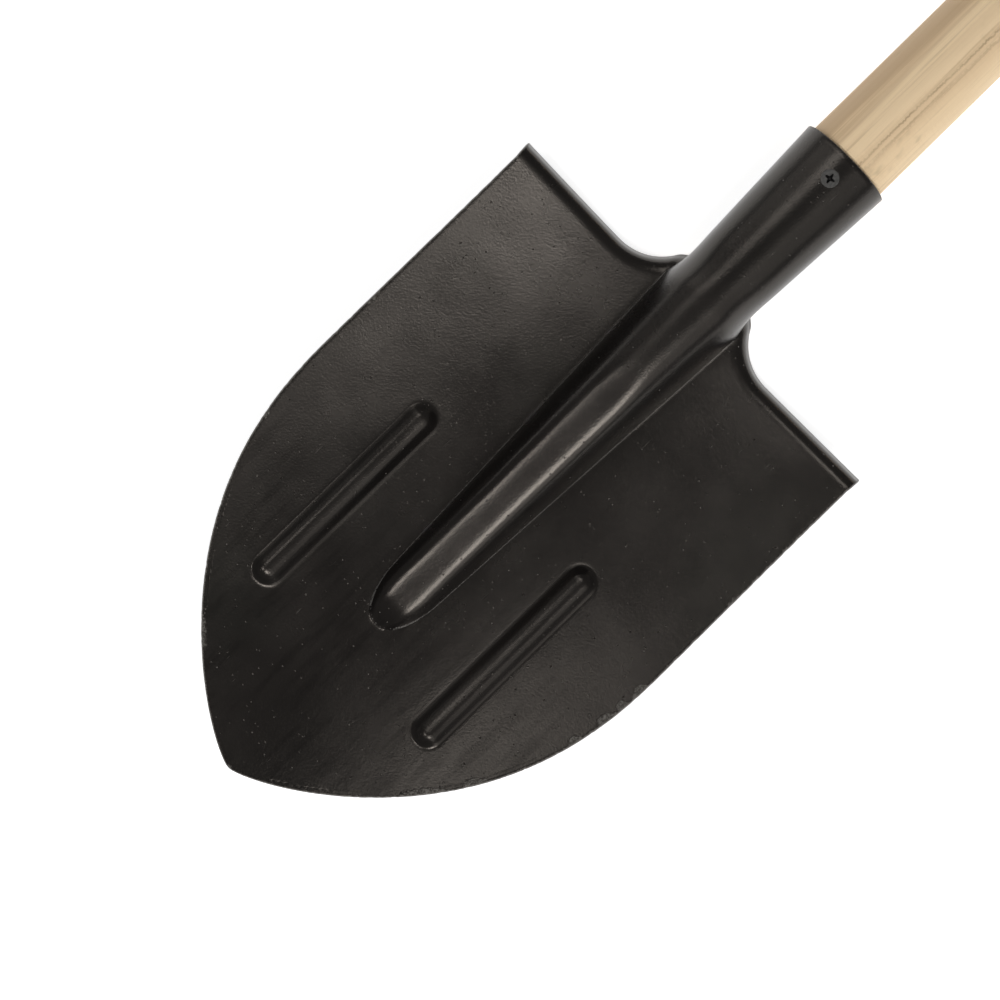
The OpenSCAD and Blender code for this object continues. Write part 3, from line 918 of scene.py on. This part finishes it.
# Black coating, as linear colours
STEEL_DARK = (0.0056, 0.0051, 0.0050)
STEEL_WARM = (0.0095, 0.0082, 0.0078)
STEEL_GREEN = (0.0066, 0.0068, 0.0060)
STEEL_SPECK = (0.17, 0.16, 0.145)
STEEL_GRAIN = (0.045, 0.042, 0.038)
STEEL_BARE = (0.060, 0.056, 0.050)
STEEL_FLAKE = (0.12, 0.115, 0.105)
STEEL_OUTLINE = (0.0012, 0.0012, 0.0012)
# Painted highlight along the crease at the ridge's foot
STEEL_CREASE_HIGHLIGHT = (0.20, 0.19, 0.18)
STEEL_TINT = (1.0, 0.90, 0.80, 1.0)

# How fine each pattern in the coating is, in features per metre
TONE_SCALE = 11
GREEN_SCALE = 9
SPECK_SCALE = 230
GRAIN_SCALE = 400
RAGGED_SCALE = 380
FLAKE_SCALE = 1300
BARE_SCALE = 160
CREASE_HIGHLIGHT_SCALE = 700
STEP_SCALE = 130
STEP_BREAK_SCALE = 33
GLOSS_SCALE = 30
COAT_STREAKS = (5, 210, 210)
# Two sets of scratches: the stretch of each, and its turn about the vertical
SCRATCHES_A = (30, 900, 900), (0, 0, 0.5)
SCRATCHES_B = (35, 900, 900), (0, 0, -0.9)

# Relief of the coating: features per metre, and depth in metres
WAVES = 13, 0.0011
RIPPLE = 190, 0.00001
ORANGE_PEEL = 1150, 0.000065
SPECK_DEPTH = 0.00022
FLAKE_DEPTH = 0.00015

# Marks near the cut edge, and the painted highlight along the crease, in millimetres: where each starts
# to show and where it is full
RAGGED_REACH = 3.2
OUTLINE_REACH = 6.0, 4.5
BARE_REACH = 0.30, -0.3
CREASE_LINE = 0.3
CREASE_REACH = 0.34, 0.1
STEP_WAVER = 1.6
STEP_OUTSIDE = 2.2, 2.5
STEP_INSIDE = 3.0, 2.7
# The step in the coating fades out here, and soil has rubbed most here, in metres from the tip
STEP_ALONG = 0.11, 0.077
RUBBED_ALONG = 0.17, 0.05


def steel_tone(s, streak):
    """Near-black that drifts between warm and greenish, with darker streaks."""
    even = s.place()
    tone = s.noise(even, TONE_SCALE, 3, 0.55)
    green = s.noise(even, GREEN_SCALE, 2)
    colour = s.blend(s.fade(tone, 0.3, 0.7), STEEL_DARK, STEEL_WARM)
    colour = s.blend(s.fade(green, 0.5, 0.75), colour, STEEL_GREEN)
    return s.blend(s.fade(streak, 0.52, 0.75, 0, 0.6), colour, STEEL_DARK)


def steel_specks(s):
    """A few raised light specks, a few pits, and many fine grains."""
    reach, kind = s.cells(s.place(), SPECK_SCALE)
    chosen = s.axes(kind)
    speck = s.times(s.fade(reach, 0.09, 0.04), s.fade(chosen[0], 0.55, 0.60))
    pit = s.times(s.fade(reach, 0.12, 0.05), s.fade(chosen[1], 0.60, 0.65))
    reach, kind = s.cells(s.place(), GRAIN_SCALE)
    grain = s.times(s.fade(reach, 0.18, 0.05), s.fade(s.axes(kind)[0], 0.72, 0.80))
    return speck, pit, grain


def steel_scratches(s):
    """Short light scratches that run two ways."""
    first = s.noise(s.place(*SCRATCHES_A), 1, 1)
    second = s.noise(s.place(*SCRATCHES_B), 1, 1)
    return s.math("MAXIMUM", s.fade(first, 0.80, 0.84), s.fade(second, 0.79, 0.83))


def steel_flakes(s):
    """The band along the cut edge where the coating has flaked, and its dark broken outline."""
    flake = s.minus(s.swing(s.place(), RAGGED_SCALE, 4, 0.75, RAGGED_REACH), s.attribute("wear_distance"))
    outline = s.times(s.fade(flake, -0.40, -0.05), s.fade(flake, 0.30, 0.05))
    near_edge = s.fade(s.attribute("edge_distance"), *OUTLINE_REACH)
    return s.fade(flake, 0.0, 0.12), s.times(outline, near_edge)


def bare_edge(s):
    """Steel that shows along the very edge, in patches."""
    patches = s.fade(s.noise(s.place(), BARE_SCALE, 4, 0.7), 0.40, 0.6, 0.2, 1)
    return s.times(s.fade(s.attribute("edge_distance"), *BARE_REACH), patches)


def painted_crease_highlight(s):
    """A painted highlight: a thin broken light line along the ridge's foot, where the crease catches the
    light.
    """
    away = s.apart(s.attribute("crease_distance"), CREASE_LINE)
    broken = s.fade(s.noise(s.place(), CREASE_HIGHLIGHT_SCALE, 2, 0.7), 0.38, 0.55, 0.25, 1)
    return s.times(s.fade(away, *CREASE_REACH), broken)


def coating_step(s):
    """A shallow step in the coating that runs just inside the edge near the tip."""
    even = s.place()
    waver = s.times(s.noise(even, STEP_SCALE, 3, 0.6), STEP_WAVER)
    inside = s.plus(s.attribute("edge_distance"), waver)
    band = s.times(s.fade(inside, *STEP_OUTSIDE), s.fade(inside, *STEP_INSIDE))
    band = s.times(band, s.fade(s.noise(even, STEP_BREAK_SCALE, 2), 0.40, 0.55))
    return s.times(band, s.fade(s.axes(even)[0], TIP_X + STEP_ALONG[0], TIP_X + STEP_ALONG[1]))


def steel_relief(s, specks, flaked, step):
    """The coating's surface, from broad waves to fine orange peel, with its specks and flakes."""
    even = s.place()
    speck, pit, grain = specks
    relief = s.bump(s.noise(even, WAVES[0], 2), WAVES[1])
    relief = s.bump(s.noise(even, RIPPLE[0], 2), RIPPLE[1], relief)
    relief = s.bump(s.noise(even, ORANGE_PEEL[0], 2, 0.6), ORANGE_PEEL[1], relief)
    relief = s.bump(s.minus(s.plus(speck, s.times(grain, 0.5)), pit), SPECK_DEPTH, relief)
    return s.bump(s.plus(flaked, s.times(step, 0.5)), -FLAKE_DEPTH, relief)


def black_steel():
    """Satin black sheet: orange peel, specks, pits, long soft streaks, a flaked, worn cut edge, and a
    painted highlight along the ridge's foot.
    """
    s = Shading("black_steel")
    even = s.place()
    streak = s.noise(s.place(COAT_STREAKS), 1, 4, 0.65)
    speck, pit, grain = specks = steel_specks(s)
    scratch = steel_scratches(s)
    flaked, outline = steel_flakes(s)
    flecks = s.fade(s.noise(even, FLAKE_SCALE, 3, 0.8), 0.45, 0.58)
    step = coating_step(s)
    colour = steel_tone(s, streak)
    colour = s.blend(s.times(speck, 0.8), colour, STEEL_SPECK)
    colour = s.blend(s.times(grain, 0.3), colour, STEEL_GRAIN)
    colour = s.blend(s.times(scratch, 0.35), colour, STEEL_BARE)
    colour = s.blend(s.times(flaked, flecks), colour, STEEL_FLAKE)
    colour = s.blend(outline, colour, STEEL_OUTLINE)
    colour = s.blend(bare_edge(s), colour, STEEL_BARE)
    # Painted highlight: a light broken line along the crease at the ridge's foot
    colour = s.blend(painted_crease_highlight(s), colour, STEEL_CREASE_HIGHLIGHT)
    colour = s.blend(s.times(step, 0.7), colour, STEEL_OUTLINE)
    rough = s.fade(s.noise(even, GLOSS_SCALE, 4, 0.6), 0.3, 0.7, 0.21, 0.28)
    for mark, duller in ((flaked, 0.14), (outline, 0.3), (pit, 0.06), (scratch, 0.1)):
        rough = s.plus(rough, s.times(mark, duller))
    # Long dull streaks, where soil has rubbed, are strongest towards the tip
    along = s.fade(s.axes(even)[0], TIP_X + RUBBED_ALONG[0], TIP_X + RUBBED_ALONG[1], 0.25, 1)
    sheen = s.fade(s.times(s.fade(streak, 0.42, 0.66), along), 0.0, 1.0, 0.52, 0.38)
    s.set(Base_Color=colour, Roughness=rough, Specular_Tint=STEEL_TINT, Specular_IOR_Level=sheen,
          Normal=steel_relief(s, specks, flaked, step))
    return s.material


WOOD_PALE = (0.95, 0.73, 0.465)
WOOD_MIDDLE = (0.87, 0.65, 0.405)
WOOD_BROWN = (0.56, 0.39, 0.23)
WOOD_DARK = (0.26, 0.155, 0.075)
WOOD_OLIVE = (0.36, 0.27, 0.14)

# The tree's pith lies to one side of the shaft, so growth rings run along it as slightly wavy lines.
# All of these are in metres.
PITH_Y = 0.052
PITH_Z = -0.030
RING_WIDTH = 0.0036
RING_WOBBLE = 0.0022
RING_JAG = 0.0018
LINE_Y = -0.005
SECOND_LINE = 0.0016
LINE_FADE = 0.00038, 0.00008
SECOND_FADE = 0.00045, 0.0001
SHADOW_FADE = 0.0026, 0.0005
FRONT_FADE = 0.01
SIDE_BAND_FROM = 0.007
SIDE_BAND_FULL = 0.013
SIDE_BAND_WAVER = 0.012
LINE_DEPTH = 0.00012
FIBRE_DEPTH = 0.00006
PLANED_DEPTH = 0.0003

# How fine each pattern in the wood is, in features per metre along the shaft or along each axis
WOBBLE_SCALE = 7.0
JAG_SCALE = 240.0
BAND_SCALE = 4.0
WOOD_FIBRES = (45, 2600, 2600)
WOOD_STREAKS = (12, 620, 620)
WAVER_STRETCH = (10, 300, 300)
BREAK_STRETCH = (60, 0, 0)
SPOT_STRETCH = (0.6, 1, 1)
SPOT_SCALE = 95
SMUDGE_STRETCH = (0.5, 1, 1)
SMUDGE_SCALE = 60
PLANED_STRETCH = (8, 120, 120)


def ring_radius(s):
    """Distance from the tree's pith, wavering along the shaft."""
    x, y, z = s.axes(s.place())
    wobble = s.swing(s.join(s.times(x, WOBBLE_SCALE)), 1, 2, 0.5, RING_WOBBLE)
    jag = s.swing(s.join(s.times(x, JAG_SCALE)), 1, 3, 0.8, RING_JAG)
    off_y = s.math("POWER", s.minus(y, PITH_Y), 2.0)
    off_z = s.math("POWER", s.minus(z, AXIS_Z + PITH_Z), 2.0)
    return s.plus(s.plus(s.math("SQRT", s.plus(off_y, off_z)), wobble), jag)


def wood_lines(s, ring):
    """The dark double line that follows one growth ring along the front, and its soft shadow."""
    line_z = math.sqrt(SHAFT_RADIUS ** 2 - (LINE_Y / MM) ** 2) * MM
    past = s.minus(ring, math.hypot(LINE_Y - PITH_Y, line_z - PITH_Z))
    front = s.fade(s.axes(s.place())[2], AXIS_Z, AXIS_Z + FRONT_FADE)
    broken = s.fade(s.noise(s.place(BREAK_STRETCH), 1, 4, 0.7), 0.36, 0.56, 0.25, 1)
    first = s.fade(s.math("ABSOLUTE", past), *LINE_FADE)
    second = s.fade(s.apart(past, SECOND_LINE), *SECOND_FADE, 0, 0.5)
    shadow = s.fade(s.apart(past, SECOND_LINE / 2), *SHADOW_FADE, 0, 0.2)
    line = s.times(s.math("MAXIMUM", first, second), broken)
    return s.times(line, front), s.times(shadow, front)


def wood_tone(s, ring, streak, fibre):
    """Bands of the growth rings, brown streaks and fibres, and a browner band along one side."""
    x, y, z = s.axes(s.place())
    band = s.noise(s.join(s.times(x, BAND_SCALE), s.math("DIVIDE", ring, RING_WIDTH), 0.0), 1, 3, 0.6)
    side = s.plus(y, s.swing(s.place(WAVER_STRETCH), 1, 3, 0.5, SIDE_BAND_WAVER))
    colour = s.blend(s.fade(band, 0.34, 0.66), WOOD_MIDDLE, WOOD_PALE)
    colour = s.blend(s.fade(streak, 0.52, 0.72, 0, 0.45), colour, WOOD_BROWN)
    colour = s.blend(s.fade(fibre, 0.55, 0.78, 0, 0.28), colour, WOOD_BROWN)
    return s.blend(s.fade(side, SIDE_BAND_FROM, SIDE_BAND_FULL, 0, 0.80), colour, WOOD_BROWN)


def pale_wood():
    """Planed pale softwood: growth rings about a pith outside the shaft, fibres, a dark line, spots."""
    s = Shading("pale_wood")
    ring = ring_radius(s)
    fibre = s.noise(s.place(WOOD_FIBRES), 1, 3, 0.6)
    streak = s.noise(s.place(WOOD_STREAKS), 1, 3, 0.6)
    line, shadow = wood_lines(s, ring)
    reach, kind = s.cells(s.place(SPOT_STRETCH), SPOT_SCALE)
    spot = s.times(s.fade(reach, 0.075, 0.03), s.fade(s.axes(kind)[0], 0.78, 0.82))
    smudge = s.fade(s.noise(s.place(SMUDGE_STRETCH), SMUDGE_SCALE, 3, 0.6), 0.64, 0.74, 0, 0.4)
    colour = wood_tone(s, ring, streak, fibre)
    colour = s.blend(shadow, colour, WOOD_BROWN)
    colour = s.blend(s.times(line, 0.45), colour, WOOD_DARK)
    colour = s.blend(s.times(spot, 0.6), colour, WOOD_DARK)
    colour = s.blend(smudge, colour, WOOD_OLIVE)
    relief = s.bump(s.noise(s.place(PLANED_STRETCH), 1, 2), PLANED_DEPTH)
    relief = s.bump(fibre, FIBRE_DEPTH, relief)
    relief = s.bump(line, -LINE_DEPTH, relief)
    rough = s.fade(streak, 0.3, 0.7, 0.55, 0.72)
    s.set(Base_Color=colour, Roughness=rough, Normal=relief, Specular_IOR_Level=0.3)
    return s.material


SCREW_DARK = (0.060, 0.058, 0.054)
SCREW_LIGHT = (0.095, 0.092, 0.087)
SCREW_MARKED = (0.2, 0.19, 0.18)
# Darker colour for the inside of the recess
SCREW_RECESS_DARK = (0.004, 0.004, 0.004)
TOOL_MARKS = (300, 4500, 900)
MARKS_DEPTH = 0.00003
SCREW_TONE_SCALE = 900
SCREW_GLOSS_SCALE = 1500
SCREW_GRIT = 2200, 0.00002
# The colour darkens inside the recess: it comes in between the first two depths under the top and goes
# between the last two
RECESS_DARK_IN = 0.00005, 0.0003
RECESS_DARK_OUT = 0.004, 0.002


def grey_screw_steel():
    """Dull phosphated steel with fine tool marks, and a darker colour down inside the recess."""
    s = Shading("grey_screw_steel")
    even = s.place()
    marks = s.noise(s.place(TOOL_MARKS), 1, 2)
    tone = s.noise(even, SCREW_TONE_SCALE, 3, 0.6)
    colour = s.blend(s.fade(tone, 0.3, 0.7), SCREW_DARK, SCREW_LIGHT)
    colour = s.blend(s.fade(marks, 0.6, 0.75, 0, 0.4), colour, SCREW_MARKED)
    height = s.axes(even)[2]
    top = AXIS_Z + SCREW_TOP * MM
    # The colour is darker inside the recess, below the head's top
    under = s.fade(height, top - RECESS_DARK_IN[0], top - RECESS_DARK_IN[1])
    recess_dark = s.times(under, s.fade(height, top - RECESS_DARK_OUT[0], top - RECESS_DARK_OUT[1]))
    colour = s.blend(s.times(recess_dark, 0.9), colour, SCREW_RECESS_DARK)
    rough = s.fade(s.noise(even, SCREW_GLOSS_SCALE, 2), 0.3, 0.7, 0.42, 0.6)
    relief = s.bump(marks, MARKS_DEPTH)
    relief = s.bump(s.noise(even, SCREW_GRIT[0], 2), SCREW_GRIT[1], relief)
    s.set(Base_Color=colour, Roughness=rough, Normal=relief, Metallic=0.35)
    return s.material


FLOOR_PALE = (0.85, 0.85, 0.85, 1)
FLOOR_GLOW = 0.72
FLOOR_TOOTH_SCALE = 300


def pale_floor():
    """Matt paper with a faint tooth, lit from behind enough to stay free of shadows."""
    s = Shading("pale_floor")
    s.set(Base_Color=FLOOR_PALE, Emission_Color=(1, 1, 1, 1), Emission_Strength=FLOOR_GLOW,
          Roughness=s.fade(s.noise(s.place(), FLOOR_TOOTH_SCALE, 3), 0.3, 0.7, 0.85, 0.95))
    return s.material


# ---- Stage: pale floor, soft lights, camera ----

CAMERA_FROM_TIP = 163.5 * MM
CAMERA_OVER_AXIS = 1.5
CAMERA_TURN = math.radians(-44.4)
CAMERA_ASIDE = 0.5 * MM
CAMERA_LENS = 125.9
CAMERA_SENSOR = 36
CAMERA_SEES = 100


def make_camera():
    data = bpy.data.cameras.new("camera")
    data.lens = CAMERA_LENS
    data.sensor_width = CAMERA_SENSOR
    data.clip_end = CAMERA_SEES
    camera = bpy.data.objects.new("camera", data)
    camera.location = (TIP_X + CAMERA_FROM_TIP, CAMERA_ASIDE, AXIS_Z + CAMERA_OVER_AXIS)
    camera.rotation_euler = (0, 0, CAMERA_TURN)
    bpy.context.scene.collection.objects.link(camera)
    bpy.context.scene.camera = camera


FLOOR_HALF = 12.0


def make_floor():
    mesh = bpy.data.meshes.new("floor")
    corners = [(-1, -1), (1, -1), (1, 1), (-1, 1)]
    mesh.from_pydata([(x * FLOOR_HALF, y * FLOOR_HALF, 0) for x, y in corners], [], [(0, 1, 2, 3)])
    floor = bpy.data.objects.new("floor", mesh)
    floor.data.materials.append(pale_floor())
    bpy.context.scene.collection.objects.link(floor)


# The lights stand this far from the blade's middle, in metres
LIGHT_DISTANCE = 2.2
# Soft boxes by the direction that they stand in, in degrees from straight up: towards the handle (X)
# and across (Y). Each has its two half-widths in degrees and its brightness, where 1 looks plain white.
SOFT_BOXES = {
    "right_box": (-17, -25, 8, 11, 10.0),
    "right_wide": (-15, -46, 9, 25, 1.4),
    "right_dim": (5, -46, 10, 22, 0.5),
    "left_box": (-20, 14, 5.5, 5, 12.0),
    "left_fill": (13, 23, 6, 9, 3.6),
    "left_far": (15, 52, 6, 20, 1.0),
}


def direction(over_x, over_y):
    """The unit vector that stands this many degrees off straight up, towards X and towards Y."""
    tilt = math.radians(math.hypot(over_x, over_y))
    turn = math.atan2(over_y, over_x)
    return Vector((math.sin(tilt) * math.cos(turn), math.sin(tilt) * math.sin(turn), math.cos(tilt)))


def soft_box(name, over_x, over_y, half_x, half_y, brightness):
    data = bpy.data.lights.new(name, "AREA")
    data.shape = "RECTANGLE"
    data.size = 2 * LIGHT_DISTANCE * math.tan(math.radians(half_x))
    data.size_y = 2 * LIGHT_DISTANCE * math.tan(math.radians(half_y))
    data.energy = brightness * math.pi * data.size * data.size_y
    light = bpy.data.objects.new(name, data)
    outward = direction(over_x, over_y)
    along = direction(over_x, over_y + 1) - direction(over_x, over_y - 1)
    across = along.cross(outward).normalized()
    along = outward.cross(across)
    light.rotation_mode = "QUATERNION"
    light.rotation_quaternion = Matrix((across, along, outward)).transposed().to_quaternion()
    light.location = Vector((TIP_X + BLADE_LENGTH / 2 * MM, 0, AXIS_Z)) + outward * LIGHT_DISTANCE
    light.visible_camera = False
    bpy.context.scene.collection.objects.link(light)


# The sky is white below and near the horizon and dims to this grey above this height
SKY_GREY = 0.15
SKY_FULL = 0.1


def make_lights():
    for name, box in SOFT_BOXES.items():
        soft_box(name, *box)
    world = bpy.data.worlds.new("studio")
    world.use_nodes = True
    tree = world.node_tree
    place = tree.nodes.new("ShaderNodeTexCoord")
    split = tree.nodes.new("ShaderNodeSeparateXYZ")
    ramp = tree.nodes.new("ShaderNodeValToRGB")
    tree.links.new(place.outputs["Generated"], split.inputs[0])
    tree.links.new(split.outputs["Z"], ramp.inputs["Fac"])
    tree.links.new(ramp.outputs["Color"], tree.nodes["Background"].inputs["Color"])
    ramp.color_ramp.elements[0].position = 0.0
    ramp.color_ramp.elements[0].color = (1, 1, 1, 1)
    ramp.color_ramp.elements[1].position = SKY_FULL
    ramp.color_ramp.elements[1].color = (SKY_GREY, SKY_GREY, SKY_GREY, 1)
    bpy.context.scene.world = world
    bpy.context.scene.view_settings.view_transform = "Standard"


def finish_piece(piece, material, node):
    piece.data.materials.clear()
    piece.data.materials.append(material)
    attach(piece, "root")
    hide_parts(node)


make_camera()
make_floor()
make_lights()
finish_piece(make_blade(), black_steel(), "blade")
finish_piece(make_shaft(), pale_wood(), "handle")
finish_piece(make_screw(), grey_screw_steel(), "socket_screw")
